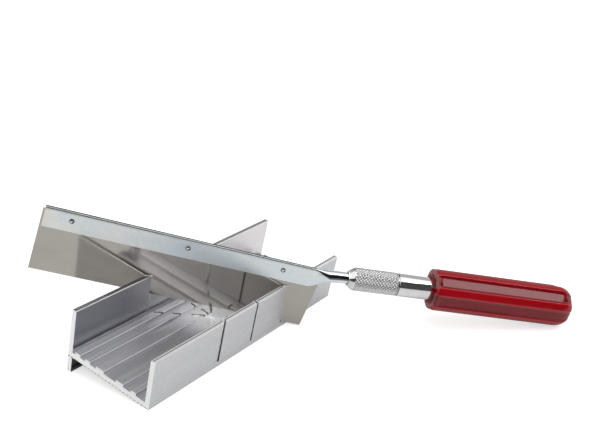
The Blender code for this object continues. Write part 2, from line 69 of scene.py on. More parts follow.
# Camera, fitted to the photograph
CAMERA_PLACE = Vector((-0.33675, -0.20899, 0.22147))
CAMERA_RIGHT = Vector((0.566766, -0.822103, 0.054029))
CAMERA_UP = Vector((0.280105, 0.253956, 0.925770))
CAMERA_LENS = 54.066

# Mitre box and its slots, in the box frame: the saw lies in the last slot
BOX_MIDDLE = 0.070
BOX_HEIGHT = 0.025
WALL_SIDES = (-0.0247, -0.0222, 0.0222, 0.0247)
SLOT_HALF_WIDTH = 0.0005
SLOT_BOTTOM = 0.0032
FLOOR_TOP = 0.0028
RIDGE_TOP = 0.0041
RIDGE_MIDDLES = (-0.01523, -0.00697, 0.00506, 0.01261, 0.01878)
RIB_PITCH = 0.00215
RIB_MIDDLE = -0.00125
SLOT_ANGLES = (math.radians(45), math.radians(90), math.radians(135))

# Burrs on each stretch of a slot's edge: how many there are and where they lie
BURR_SEED = 7
WALL_BURRS = 9
FLOOR_BURRS = 8
RIDGE_BURRS = 4
WORN_RIDGE_BURRS = 16
WORN_RIDGES_WITHIN = 0.010
WALL_BURRS_FOOT = SLOT_BOTTOM + 0.002
RIDGE_BURRS_REACH = 0.0014
CROSSING_REACH = 0.0035

# Size of a burr in millimetres, the share of its length that it leans, and how far larger some are
BURR_LENGTH = (0.25, 0.9)
BURR_RISE = (0.10, 0.32)
BURR_SPREAD = (0.10, 0.30)
BURR_SINK = 0.03
BURR_LEAN = 0.4
BROAD_BURR = 1.8
WORN_BURR = 2.1

# Folded spine and its rolled tang, in the saw frame
BLADE_LENGTH = 0.1353
SPINE_SHEET = 0.0006
SPINE_TOP = 0.0342
SPINE_BOTTOM = 0.0239
SPINE_SETBACK = 0.0005
CHEEK_OFFSET = 0.0007
CHANNEL_END = 0.0055
BEND_BEHIND_HEEL = 0.0044
NECK_LENGTH = 0.009
TANG_ROOT_RADIUS = 0.0031
TANG_ROOT_SAG = 0.0004
TANG_RADIUS = 0.0028
TANG_END_RADIUS = 0.0026
TANG_INSET = 0.018
SEAM = 0.0006
SHOULDER_ANGLE = math.radians(66)
SHEET_ROWS = 12
FOLD_STATIONS = 12
BLEND_STATIONS = 24
RIVET_PLACES = (0.01962, 0.06765, 0.12218)
RIVET_HEIGHT = 0.0295
RIVET_HEAD_RADIUS = 0.0012

# Collar of the chuck
COLLAR_LENGTH = 0.0256
COLLAR_RADIUS = 0.00585
NOSE_BEVEL = 0.00265
NOSE_RIM_RADIUS = 0.0037
NOSE_HOLE_RADIUS = 0.0031
NOSE_LIP = 0.0006
CONE_LENGTH = 0.0032
COLLAR_BORE_RADIUS = 0.0044
COLLAR_THREAD_RADIUS = 0.0052
SHOULDER = -0.0125
KNURL_MARGIN = 0.0003
KNURL_COUNT = 22
KNURL_DEPTH = 0.00032
KNURL_FLAT = 1.7
KNURL_SAMPLES = 6
NOSE_ROUND = 0.00025
TAIL_ROUND = 0.00015

# Ferrule
FERRULE_FRONT = -0.0259
FERRULE_REAR = -0.0455
FERRULE_NOSE = -0.0128
FERRULE_BORE_RADIUS = 0.0040
FERRULE_BORE_END = -0.0285
THREAD_RADIUS = 0.0049
THREAD_PITCH = 0.001
THREAD_DEPTH = 0.0003
THREAD_UNDERCUT = 0.0008
STUD_RADIUS = 0.004
STUD_REAR = -0.0655
STUD_GROOVE = 0.0004
STUD_GROOVES = 3
EDGE_ROUND = 0.0002
TURNED_STEPS = 96

# Grip
GRIP_FRONT = -0.0440
GRIP_REAR = -0.1197
GRIP_RADIUS = 0.01085
GRIP_BORE_RADIUS = 0.0043
RECESS_FLOOR = -0.0458
RECESS_FLOOR_RADIUS = 0.00615
RECESS_RADIUS = 0.0078
FRONT_ROUND = 0.0013
GRIP_ROLL = math.radians(4.5)
FLUTES = 6
FLUTE_DEPTH = 0.00122
FLUTE_HALF_ANGLE = math.radians(20)
FLUTE_FLOOR_ANGLE = math.radians(12.5)
FLUTE_FRONT_SHARE = 0.5
FLUTE_SCOOP = 0.0018
FLUTE_BUTT_SHARE = 0.5
DOME_LENGTH = 0.0086
BUTT_RADIUS = 0.0062
FLUTE_EASE = 0.0002
FRONT_RINGS = 8
SCOOP_RINGS = 8
DOME_RINGS = 24

# Smooth shading up to a sharp angle, and how close points are joined
SHARP = math.radians(32)
KNURL_SHARP = math.radians(25)
MERGE_WITHIN = 1e-7
WELD_WITHIN = 1e-6

# Studio
TABLE_SIZE = 16
FLOOR_ALBEDO = 0.74
FLOOR_GLOW = 0.62
FLOOR_GLOW_IN_METAL = 0.08
WORLD_LEVEL = 0.60
KEY_STRENGTH = 1.15
KEY_ANGLE = math.radians(70)
KEY_FROM = Vector((-0.223, -0.384, 0.896))
SOFTBOX_GLOW = 2.9
SOFTBOX_TURN = math.radians(24)
CEILING_GLOW = 1.15
SIDE_BOX_GLOW = 2.0
BACK_CARD_GLOW = 0.45
HOLLOW_CARD_GLOW = 0.24
DARK_CARD_ALBEDO = 0.09
LIT_CARD_ALBEDO = 0.8

box_turn = Matrix.Rotation(BOX_LEAN, 4, "X")
saw_turn = box_turn @ Matrix.Rotation(SLOT_TURN, 4, "Z") @ Matrix.Rotation(-SAW_TILT, 4, "Y")
handle_turn = saw_turn @ Matrix.Rotation(-HANDLE_SWING, 4, "Z")
handle_turn = handle_turn @ Matrix.Rotation(HANDLE_RISE, 4, "Y")
collar_joint = next(joint for joint in frame["joints"] if joint["name"] == "collar_turn")
box_frame = Matrix.Translation(BOX_PLACE) @ box_turn
saw_frame = Matrix.Translation(HEEL_PLACE) @ saw_turn
handle_frame = Matrix.Translation(collar_joint["pos_m"]) @ handle_turn


# Node materials

class Finish:
    """One node material, built up from patterns that lie in a piece's own frame."""

    def __init__(self, name, metallic, roughness, place):
        self.material = bpy.data.materials.new(name)
        self.material.use_nodes = True
        self.tree = self.material.node_tree
        self.shader = self.tree.nodes["Principled BSDF"]
        self.shader.inputs["Metallic"].default_value = metallic
        self.shader.inputs["Roughness"].default_value = roughness
        self.coords = self.tree.nodes.new("ShaderNodeTexCoord")
        self.place = place
        self.normal = None

    def add(self, kind, inputs=None, output=0, **settings):
        node = self.tree.nodes.new("ShaderNode" + kind)
        for key, value in settings.items():
            setattr(node, key, value)
        for key, value in (inputs or {}).items():
            if isinstance(value, bpy.types.NodeSocket):
                self.tree.links.new(value, node.inputs[key])
            else:
                node.inputs[key].default_value = value
        return node.outputs[output]

    def millimetres(self, stretch=(1, 1, 1)):
        """Place in the piece's own frame in millimetres, each axis times its stretch."""
        own = self.add("Mapping", {
            "Vector": self.coords.outputs["Object"],
            "Location": self.place.to_translation(),
            "Rotation": self.place.to_euler(),
            "Scale": (MM, MM, MM),
        }, vector_type="TEXTURE")
        return self.add("Mapping", {"Vector": own, "Scale": stretch})

    def axes(self):
        """Place in the piece's own frame in millimetres, as three numbers."""
        split = self.tree.nodes.new("ShaderNodeSeparateXYZ")
        self.tree.links.new(self.millimetres(), split.inputs[0])
        return split.outputs

    def facing(self, axis):
        """How far the surface faces along one axis of the piece's own frame, from -1 to 1."""
        inputs = {0: self.coords.outputs["Normal"], 1: self.place.to_3x3() @ Vector(axis)}
        return self.add("VectorMath", inputs, output="Value", operation="DOT_PRODUCT")

    def maths(self, operation, a, b=0.0):
        return self.add("Math", {0: a, 1: b}, operation=operation)

    def off(self, value, middle=None):
        """How far a value is from a middle, or from 0 where none is given."""
        if middle is not None:
            value = self.maths("SUBTRACT", value, middle)
        return self.maths("ABSOLUTE", value)

    def length(self, vector):
        return self.add("VectorMath", {0: vector}, output="Value", operation="LENGTH")

    def above(self, value, edge, blur=0.05):
        """0 below an edge and 1 above it."""
        return self.span(value, edge - blur, edge + blur)

    def below(self, value, edge, blur=0.05):
        """1 below an edge and 0 above it."""
        return self.span(value, edge - blur, edge + blur, 1.0, 0.0)

    def both(self, a, b):
        return self.maths("MULTIPLY", a, b)

    def either(self, a, b):
        return self.maths("MAXIMUM", a, b)

    def noise(self, stretch, detail=4.0, rough=0.55, twist=0.0):
        return self.add("TexNoise", {
            "Vector": self.millimetres(stretch),
            "Scale": 1.0,
            "Detail": detail,
            "Roughness": rough,
            "Distortion": twist,
        })

    def span(self, value, low, high, to_low=0.0, to_high=1.0):
        return self.add("MapRange", {
            "Value": value,
            "From Min": low,
            "From Max": high,
            "To Min": to_low,
            "To Max": to_high,
        })

    def mix(self, share, first, second):
        """The first colour where share is 0, the second where it is 1."""
        node = self.tree.nodes.new("ShaderNodeMix")
        node.data_type = "RGBA"
        for index, value in ((0, share), (6, first), (7, second)):
            if isinstance(value, bpy.types.NodeSocket):
                self.tree.links.new(value, node.inputs[index])
            elif index == 0:
                node.inputs[index].default_value = value
            else:
                node.inputs[index].default_value = (*value, 1.0)
        return node.outputs[2]

    def colour(self, value):
        self.tree.links.new(value, self.shader.inputs["Base Color"])

    def roughness(self, value):
        self.tree.links.new(value, self.shader.inputs["Roughness"])

    def metallic(self, value):
        self.tree.links.new(value, self.shader.inputs["Metallic"])

    def bump(self, height, depth_mm):
        """Add a bump on top of those before it."""
        inputs = {"Height": height, "Strength": 1.0, "Distance": depth_mm * MM}
        if self.normal is not None:
            inputs["Normal"] = self.normal
        self.normal = self.add("Bump", inputs)
        self.tree.links.new(self.normal, self.shader.inputs["Normal"])


def extruded_aluminium():
    finish = Finish("extruded_aluminium_look", 1.0, 0.36, box_frame)
    x, y, z = finish.axes()
    near_outer, near_inner, far_inner, far_outer = (side / MM for side in WALL_SIDES)
    floor_top, ridge_top, wall_top = FLOOR_TOP / MM, RIDGE_TOP / MM, BOX_HEIGHT / MM
    streaks = finish.noise((0.006, 1.1, 1.1), detail=4.0)
    lines = finish.noise((0.01, 7.0, 7.0), detail=2.0)
    grain = finish.noise((0.9, 1.6, 1.6), detail=5.0, rough=0.7)
    body = finish.mix(finish.span(grain, 0.3, 0.7), (0.68, 0.685, 0.71), (0.82, 0.825, 0.845))
    body = finish.mix(finish.span(streaks, 0.5, 0.7, 0.0, 0.35), body, (0.56, 0.56, 0.595))

    # Streaked floor of the channel, with painted shade at the foot and a painted highlight along
    # the upper edge of each ridge
    inside = finish.below(finish.off(y), far_inner + 0.05)
    sideways = finish.facing((0, 1, 0))
    streaked = finish.span(streaks, 0.42, 0.58)
    floor = finish.mix(streaked, (0.60, 0.60, 0.635), (0.78, 0.78, 0.815))
    ridge = finish.mix(streaked, (0.70, 0.70, 0.735), (0.84, 0.84, 0.875))
    floor = finish.mix(finish.above(z, floor_top + 0.4), floor, ridge)
    # Painted highlight in a band just below each ridge's top
    ridge_edge_highlight = finish.span(z, ridge_top - 0.25, ridge_top - 0.15)
    floor = finish.mix(ridge_edge_highlight, floor, (0.95, 0.95, 0.97))
    floor = finish.mix(finish.above(z, ridge_top - 0.02, 0.01), floor, ridge)
    # Painted shade at the foot of each ridge
    foot = finish.above(finish.off(sideways), 0.7, 0.1)
    foot = finish.both(foot, finish.below(z, ridge_top - 0.3))
    floor = finish.mix(foot, floor, (0.42, 0.42, 0.45))
    drawn = finish.noise((0.005, 2.4, 2.4), detail=3.0, rough=0.7)
    floor = finish.mix(finish.span(drawn, 0.52, 0.62, 0.0, 0.4), floor, (0.38, 0.38, 0.41))

    # The floor is scuffed pale round the crossing of the slots
    from_middle = finish.maths("SUBTRACT", x, BOX_MIDDLE / MM)
    crossing = finish.length(finish.add("CombineXYZ", {0: from_middle, 1: y}))
    scuffed = finish.both(finish.span(crossing, 20, 8), finish.span(grain, 0.30, 0.6, 0.55, 1.0))
    floor = finish.mix(scuffed, floor, (0.92, 0.92, 0.93))
    low = finish.both(finish.below(z, ridge_top + 0.2), finish.above(z, floor_top - 0.3))
    on_floor = finish.both(inside, low)
    body = finish.mix(on_floor, body, floor)

    # Inner faces of the walls: painted light makes the near wall's pale, and painted shade darkens
    # the far wall's towards the near end
    wall = finish.both(inside, finish.above(z, ridge_top + 0.3))
    # Painted light: the near wall's inner face is paler than the rest
    back = finish.both(wall, finish.above(sideways, 0.6, 0.2))
    body = finish.mix(back, body, (0.90, 0.90, 0.90))
    # Painted shade on the far wall's inner face, deepest at the near end
    shaded_far_inner = finish.both(wall, finish.below(sideways, -0.6, 0.2))
    shade = finish.mix(finish.span(x, 30, 110), (0.27, 0.275, 0.30), (0.95, 0.93, 0.93))
    body = finish.mix(finish.both(shaded_far_inner, 0.9), body, shade)

    # Painted shade on the outer face of the far wall, a painted highlight along the walls' upper
    # edges, and their tops, the near one with two dark lines of painted shade
    # Painted shade on the far wall's outer face
    outer = finish.both(finish.above(y, far_outer - 0.2), finish.above(sideways, 0.6))
    body = finish.mix(finish.both(outer, 0.8), body, (0.40, 0.39, 0.38))
    # Painted highlight along the upper edge of each wall's sides
    upper_edge_highlight = finish.span(z, wall_top - 0.4, wall_top - 0.25)
    body = finish.mix(upper_edge_highlight, body, (0.90, 0.90, 0.90))
    top = finish.mix(finish.span(lines, 0.4, 0.6), (0.78, 0.77, 0.76), (0.90, 0.89, 0.88))
    # Painted shade in two lines along the near wall's top, one near its middle and one at its inner
    # edge
    shade_lines = finish.maths("MINIMUM", finish.off(y, near_outer + 1.4), finish.off(y, near_inner))
    top = finish.mix(finish.below(shade_lines, 0.28), top, (0.22, 0.21, 0.21))
    top = finish.mix(finish.above(y, 0), top, (0.72, 0.71, 0.70))
    on_top = finish.above(z, wall_top - 0.02, 0.01)
    body = finish.mix(on_top, body, top)

    # Painted shade: a dark brownish underside, and the dark hollow of the lip
    # Painted shade on faces that look down
    shaded_underside = finish.above(finish.facing((0, 0, -1)), 0.3, 0.2)
    body = finish.mix(finish.both(shaded_underside, 0.9), body, (0.14, 0.10, 0.06))
    # Painted shade in the hollow of the lip
    hollow = finish.mix(finish.span(streaks, 0.45, 0.6), (0.03, 0.03, 0.04), (0.22, 0.22, 0.24))
    shaded_lip_hollow = finish.both(finish.below(z, -0.1), finish.below(sideways, -0.6, 0.2))
    body = finish.mix(shaded_lip_hollow, body, hollow)

    # Sawn ends, with painted shade at the mouth of each of the underside's grooves along the foot,
    # and tan between them
    sawn_grain = finish.noise((2.0, 5.0, 0.35), detail=3.0)
    sawn = finish.mix(finish.span(sawn_grain, 0.3, 0.7), (0.92, 0.93, 0.94), (1.0, 1.0, 1.0))
    ribs = finish.maths("ADD", y, (100 * RIB_PITCH - RIB_MIDDLE) / MM)
    ribs = finish.maths("PINGPONG", ribs, RIB_PITCH / MM / 2)
    grooved = finish.above(ribs, RIB_PITCH / MM / 4, 0.12)
    # Painted shade in the grooves' mouths, tan between them
    groove_shade_and_tan = finish.mix(grooved, (0.10, 0.06, 0.03), (0.85, 0.68, 0.40))
    edge = finish.both(finish.below(z, 0.30, 0.10), finish.above(z, -0.2))
    sawn = finish.mix(edge, sawn, groove_shade_and_tan)
    is_sawn = finish.above(finish.off(finish.facing((1, 0, 0))), 0.6)
    body = finish.mix(is_sawn, body, sawn)

    # Slots: painted shade in the walls but painted light below the top of the far one, grey painted
    # shade in the ridges, and thin white scratches on the floor where they cross
    in_slot = None
    scratch = None
    for angle in SLOT_ANGLES:
        aside = finish.both(from_middle, math.sin(angle))
        off_line = finish.off(aside, finish.both(y, math.cos(angle)))
        near = finish.below(off_line, 1.04 * SLOT_HALF_WIDTH / MM, 0.01)
        in_slot = finish.either(in_slot, near) if in_slot else near
        thin = finish.below(off_line, 0.35, 0.2)
        scratch = finish.either(scratch, thin) if scratch else thin
    in_slot = finish.both(in_slot, finish.above(z, SLOT_BOTTOM / MM - 0.1, 0.01))
    # Painted light in the far wall's slots below its top, painted shade in the other walls' slots
    lit = finish.both(finish.above(y, 20), finish.below(z, wall_top - 3, 1))
    kerf_shade_and_light = finish.mix(lit, (0.04, 0.04, 0.045), (0.75, 0.75, 0.75))
    kerf_shade_and_light = finish.mix(inside, kerf_shade_and_light, (0.30, 0.30, 0.31))
    body = finish.mix(in_slot, body, kerf_shade_and_light)
    scratch = finish.both(finish.both(scratch, finish.span(crossing, 6.5, 4)), on_floor)
    on_low_floor = finish.below(z, floor_top + 0.3)
    body = finish.mix(finish.both(scratch, on_low_floor), body, (1.0, 1.0, 1.0))

    # Painted shade at the mouth of the last slot, the saw's own, in the top of the far wall
    mouth_shade = finish.both(finish.below(off_line, 0.95, 0.1), finish.above(y, far_inner - 0.2))
    mouth_shade = finish.both(mouth_shade, finish.above(z, wall_top - 0.3))
    finish.colour(finish.mix(mouth_shade, body, (0.02, 0.02, 0.02)))

    satin = finish.span(grain, 0.3, 0.7, 0.26, 0.36)
    coarse = finish.either(finish.both(is_sawn, 0.4), finish.both(back, 0.6))
    finish.roughness(finish.either(satin, coarse))

    # The channel's floor, its scratches and the near wall's top scatter more light than bare metal
    channel = finish.both(on_floor, finish.span(scuffed, 0, 1, 0.2, 0.6))
    channel = finish.either(channel, finish.both(scratch, 0.9))
    near_top = finish.both(on_top, finish.below(y, 0))
    matt = finish.either(channel, finish.both(near_top, 0.7))
    finish.metallic(finish.span(matt, 0, 1, 1.0, 0.0))
    finish.bump(lines, 0.006)
    finish.bump(streaks, 0.03)
    finish.bump(grain, 0.004)
    return finish.material


def burr_aluminium():
    finish = Finish("burr_aluminium_look", 0.0, 0.5, box_frame)
    torn = finish.noise((4.0, 4.0, 4.0), detail=3.0)
    finish.colour(finish.mix(finish.span(torn, 0.3, 0.7), (0.90, 0.90, 0.90), (0.98, 0.98, 0.98)))
    finish.roughness(finish.span(torn, 0.3, 0.7, 0.35, 0.6))
    finish.bump(torn, 0.02)
    return finish.material


def blade_steel():
    finish = Finish("blade_steel_look", 1.0, 0.07, saw_frame)
    rolled = finish.noise((0.03, 1.0, 5.0), detail=3.0)
    clouds = finish.noise((0.03, 0.03, 0.05), detail=4.0, twist=0.5)
    base = finish.mix(finish.span(clouds, 0.3, 0.7), (0.47, 0.445, 0.405), (0.53, 0.505, 0.465))
    finish.colour(finish.mix(finish.span(rolled, 0.4, 0.7, 0.0, 0.25), base, (0.42, 0.40, 0.37)))
    finish.roughness(finish.span(clouds, 0.3, 0.7, 0.07, 0.11))
    finish.bump(rolled, 0.0015)
    finish.bump(clouds, 0.015)
    return finish.material


def zinc_plate():
    finish = Finish("zinc_plate_look", 1.0, 0.3, saw_frame)
    x, _, z = finish.axes()
    tint = finish.noise((0.035, 0.05, 0.06), detail=3.0, twist=0.8)
    grain = finish.noise((1.6, 2.6, 2.6), detail=4.0)
    lines = finish.noise((0.05, 3.0, 3.0), detail=2.0)
    base = finish.mix(finish.span(tint, 0.4, 0.6), (0.80, 0.89, 0.94), (0.89, 0.92, 0.89))
    base = finish.mix(finish.span(grain, 0.35, 0.75, 0.0, 0.35), base, (0.94, 0.97, 0.98))

    # Yellowed tip and a painted highlight along the lower edge, then painted shade in the crease, a
    # painted shaded strip and a dark line of painted shade along the fold
    top = SPINE_TOP / MM
    yellowed = finish.span(x, BLADE_LENGTH / MM - 4, BLADE_LENGTH / MM - 1, 0.0, 0.35)
    base = finish.mix(yellowed, base, (0.88, 0.82, 0.58))
    # Painted highlight along the lower edge
    base = finish.mix(finish.below(z, SPINE_BOTTOM / MM + 0.25, 0.1), base, (0.97, 0.98, 0.98))
    # Painted shade in a thin crease line along the cheek
    crease_shade = finish.off(z, top - 1.4)
    crease_shade = finish.both(finish.span(crease_shade, 0.05, 0.3, 0.3, 0.0), finish.above(x, 6, 3))
    base = finish.mix(crease_shade, base, (0.3, 0.34, 0.33))
    on_fold = finish.above(x, 0, 3)
    # Painted shaded strip under the fold
    shaded = finish.both(finish.span(z, top - 1.05, top - 0.85), on_fold)
    base = finish.mix(shaded, base, (0.66, 0.69, 0.69))
    # Painted shade in a dark line along the fold
    fold = finish.both(finish.above(z, top - 0.16, 0.05), on_fold)
    base = finish.mix(fold, base, (0.04, 0.05, 0.04))

    # Painted shade on the shoulder where the fold opens out into the tang
    shoulder = Vector((0, math.sin(SHOULDER_ANGLE), math.cos(SHOULDER_ANGLE)))
    painted_shade = finish.both(finish.span(finish.facing(shoulder), 0.88, 0.95), finish.below(x, 1, 1.5))
    finish.colour(finish.mix(finish.both(painted_shade, 0.9), base, (0.07, 0.07, 0.07)))

    burnished = finish.span(x, CHANNEL_END / MM, 0.0)
    satin = finish.span(grain, 0.3, 0.7, 0.26, 0.38)
    finish.roughness(finish.span(burnished, 0, 1, satin, 0.08))
    finish.bump(grain, 0.004)
    finish.bump(lines, 0.004)
    finish.bump(tint, 0.25)
    return finish.material


def rivet_steel():
    finish = Finish("rivet_steel_look", 1.0, 0.22, saw_frame)
    x, _, z = finish.axes()
    grain = finish.noise((4.0, 4.0, 4.0), detail=3.0)
    base = finish.mix(finish.span(grain, 0.3, 0.7), (0.80, 0.85, 0.88), (0.92, 0.95, 0.97))

    # Painted shade: a dark rim round each head, and its dark side towards the heel and down
    level = finish.maths("SUBTRACT", z, RIVET_HEIGHT / MM)
    away = None
    for place in RIVET_PLACES:
        aside = finish.maths("SUBTRACT", x, place / MM)
        reach = finish.length(finish.add("CombineXYZ", {0: aside, 1: level}))
        away = finish.maths("MINIMUM", away, reach) if away else reach
    # Painted shade in a ring round the edge of each head
    rim = finish.span(away, RIVET_HEAD_RADIUS / MM - 0.55, RIVET_HEAD_RADIUS / MM - 0.3)
    # Painted shade on the side of each head that faces the heel and down
    wear_and_shade = finish.span(finish.facing((-0.8, 0.2, -0.56)), 0.15, 0.4)
    painted_shade = finish.either(finish.both(rim, 0.92), wear_and_shade)
    finish.colour(finish.mix(painted_shade, base, (0.03, 0.035, 0.04)))
    finish.roughness(finish.span(grain, 0.3, 0.7, 0.10, 0.2))
    finish.bump(grain, 0.006)
    return finish.material


def knurled_aluminium():
    finish = Finish("knurled_aluminium_look", 1.0, 0.22, handle_frame)
    radius = finish.length(finish.millimetres((0, 1, 1)))
    crest = finish.span(radius, (COLLAR_RADIUS - KNURL_DEPTH) / MM, COLLAR_RADIUS / MM)
    grain = finish.noise((2.0, 2.0, 2.0), detail=3.0)
    # Painted shade in the knurl's valleys and a painted highlight on its crests
    knurl = finish.mix(crest, (0.32, 0.32, 0.33), (1.0, 1.0, 1.0))
    nose = finish.above(finish.axes()[0], -(NOSE_BEVEL + KNURL_MARGIN) / MM)
    knurl = finish.mix(finish.span(grain, 0.4, 0.8, 0.0, 0.3), knurl, (0.80, 0.80, 0.80))
    finish.colour(finish.mix(nose, knurl, (0.88, 0.88, 0.88)))
    satin = finish.span(grain, 0.3, 0.7, 0.20, 0.32)
    finish.roughness(finish.span(nose, 0, 1, satin, 0.07))
    finish.bump(grain, 0.004)
    return finish.material


def polished_aluminium():
    finish = Finish("polished_aluminium_look", 1.0, 0.06, handle_frame)
    rings = finish.noise((9.0, 0.15, 0.15), detail=2.0)
    haze = finish.noise((0.3, 0.3, 0.3), detail=5.0)
    finish.colour(finish.mix(finish.span(haze, 0.3, 0.7), (0.84, 0.84, 0.84), (0.91, 0.91, 0.91)))
    finish.roughness(finish.span(haze, 0.3, 0.75, 0.04, 0.10))
    finish.bump(rings, 0.0006)
    return finish.material


def collet_steel():
    finish = Finish("collet_steel_look", 1.0, 0.3, handle_frame)
    rings = finish.noise((12.0, 0.2, 0.2), detail=2.0)
    finish.colour(finish.mix(finish.span(rings, 0.3, 0.7), (0.42, 0.42, 0.43), (0.56, 0.56, 0.57)))
    finish.roughness(finish.span(rings, 0.3, 0.7, 0.22, 0.38))
    finish.bump(rings, 0.004)
    return finish.material


def red_plastic():
    finish = Finish("red_plastic_look", 0.0, 0.12, handle_frame)
    swirl = finish.noise((0.05, 0.16, 0.16), detail=4.0, twist=1.2)
    skin = finish.noise((0.5, 0.9, 0.9), detail=4.0)
    scratches = finish.noise((0.25, 6.0, 6.0), detail=2.0)
    _, y, z = finish.axes()

    # Deep red flutes, lighter ridges, and a painted glint of light along each lip between them
    around = finish.maths("SUBTRACT", finish.maths("ARCTAN2", y, z), GRIP_ROLL - math.tau)
    sector = math.tau / FLUTES
    turned = finish.maths("FRACT", finish.both(around, 1 / sector))
    aside = finish.off(turned, 0.5)
    lip = FLUTE_HALF_ANGLE / sector
    ridge = finish.above(aside, lip, 0.02)
    swirled = finish.span(swirl, 0.35, 0.65)
    light = finish.mix(swirled, (0.290, 0.0008, 0.004), (0.340, 0.002, 0.007))
    deep = finish.mix(swirled, (0.170, 0.0006, 0.004), (0.205, 0.001, 0.006))
    base = finish.mix(ridge, deep, light)
    painted_glint = finish.below(finish.off(aside, lip), 0.022, 0.012)
    finish.colour(finish.mix(finish.both(painted_glint, 0.7), base, (0.62, 0.012, 0.03)))
    wear_and_shade = finish.span(scratches, 0.62, 0.75, 0.0, 0.12)
    finish.roughness(finish.maths("ADD", finish.span(skin, 0.3, 0.7, 0.05, 0.10), wear_and_shade))
    finish.bump(skin, 0.02)
    finish.bump(swirl, 0.10)
    finish.shader.inputs["IOR"].default_value = 1.49
    return finish.material


# Meshes

def to_mesh(name, body):
    mesh = bpy.data.meshes.new(name)
    body.to_mesh(mesh)
    body.free()
    return mesh


def loft(name, rings, loop=False, sharp=SHARP):
    """Skin through rings of equal count: open ends are capped, and a loop joins last to first."""
    body = bmesh.new()
    rows = [[body.verts.new(place) for place in ring] for ring in rings]
    count = len(rings[0])
    pairs = list(zip(rows, rows[1:]))
    if loop:
        pairs.append((rows[-1], rows[0]))
    for near, far in pairs:
        for i in range(count):
            j = (i + 1) % count
            body.faces.new((near[i], near[j], far[j], far[i]))
    if not loop:
        body.faces.new(rows[0])
        body.faces.new(rows[-1])
    bmesh.ops.remove_doubles(body, verts=body.verts, dist=MERGE_WITHIN)
    bmesh.ops.recalc_face_normals(body, faces=body.faces)
    mesh = to_mesh(name, body)
    mesh.shade_smooth()
    mesh.set_sharp_from_angle(angle=sharp)
    return mesh


def on_ring(x, radius, angle):
    """Point at an angle round the X axis."""
    return x, radius * math.sin(angle), radius * math.cos(angle)


def circle(x, radius, steps):
    return [on_ring(x, radius, math.tau * i / steps) for i in range(steps)]


def rounded(profile, corners, radius, steps=3):
    """Replace the numbered corners of a turned profile by small curves."""
    points = []
    for i, point in enumerate(profile):
        if i not in corners:
            points.append(point)
            continue
        here = Vector(point)
        before = (Vector(profile[i - 1]) - here).normalized() * radius
        after = (Vector(profile[(i + 1) % len(profile)]) - here).normalized() * radius
        for k in range(steps + 1):
            share = k / steps
            points.append(tuple(here + before * (1 - share) ** 2 + after * share ** 2))
    return points


def add_object(name, data):
    thing = bpy.data.objects.new(name, data)
    bpy.context.scene.collection.objects.link(thing)
    return thing


def add_piece(name, mesh, place, material, body, slot, *nodes):
    """Place a mesh in the shared frame and let it stand for any CAD nodes that are named."""
    piece = add_object(name, mesh)
    mesh.transform(place)
    mesh.materials.append(material)
    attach(piece, body)
    if nodes:
        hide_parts(*nodes)
    return piece


def triangle(value):
    """0 at whole numbers, 1 halfway between them."""
    return 1 - abs(2 * (value % 1) - 1)


def knurl_ring(x, pitch, steps):
    """One ring through the diamonds that two crossing sets of valleys leave."""
    ring = []
    for i in range(steps):
        diamonds = i / KNURL_SAMPLES
        crest = min(triangle(diamonds + x / pitch), triangle(diamonds - x / pitch))
        crest = min(1, crest * KNURL_FLAT)
        radius = COLLAR_RADIUS - KNURL_DEPTH * (1 - crest)
        ring.append(on_ring(x, radius, math.tau * i / steps))
    return ring


def collar_mesh():
    steps = KNURL_COUNT * KNURL_SAMPLES
    low = COLLAR_RADIUS - KNURL_DEPTH
    rim = COLLAR_RADIUS - KNURL_DEPTH / 2
    pitch = math.tau * COLLAR_RADIUS / KNURL_COUNT
    front = -NOSE_BEVEL - KNURL_MARGIN
    rear = -COLLAR_LENGTH + 2 * KNURL_MARGIN
    rows = int((front - rear) / pitch * KNURL_SAMPLES)
    nose = rounded([
        (0, NOSE_HOLE_RADIUS),
        (0, NOSE_RIM_RADIUS),
        (-NOSE_BEVEL, rim),
        (front, low),
    ], (1, 2), NOSE_ROUND)
    rings = [circle(x, radius, steps) for x, radius in nose]
    for i in range(1, rows):
        rings.append(knurl_ring(front - i * pitch / KNURL_SAMPLES, pitch, steps))
    tail = rounded([
        (rear, low),
        (rear - KNURL_MARGIN / 2, rim),
        (-COLLAR_LENGTH, rim),
        (-COLLAR_LENGTH, COLLAR_THREAD_RADIUS),
    ], (2,), TAIL_ROUND)
    tail += [
        (SHOULDER, COLLAR_THREAD_RADIUS),
        (SHOULDER, COLLAR_BORE_RADIUS),
        (-NOSE_LIP - CONE_LENGTH, COLLAR_BORE_RADIUS),
        (-NOSE_LIP, NOSE_HOLE_RADIUS),
    ]
    rings += [circle(x, radius, steps) for x, radius in tail]
    return loft("collar_knurl", rings, loop=True, sharp=KNURL_SHARP)


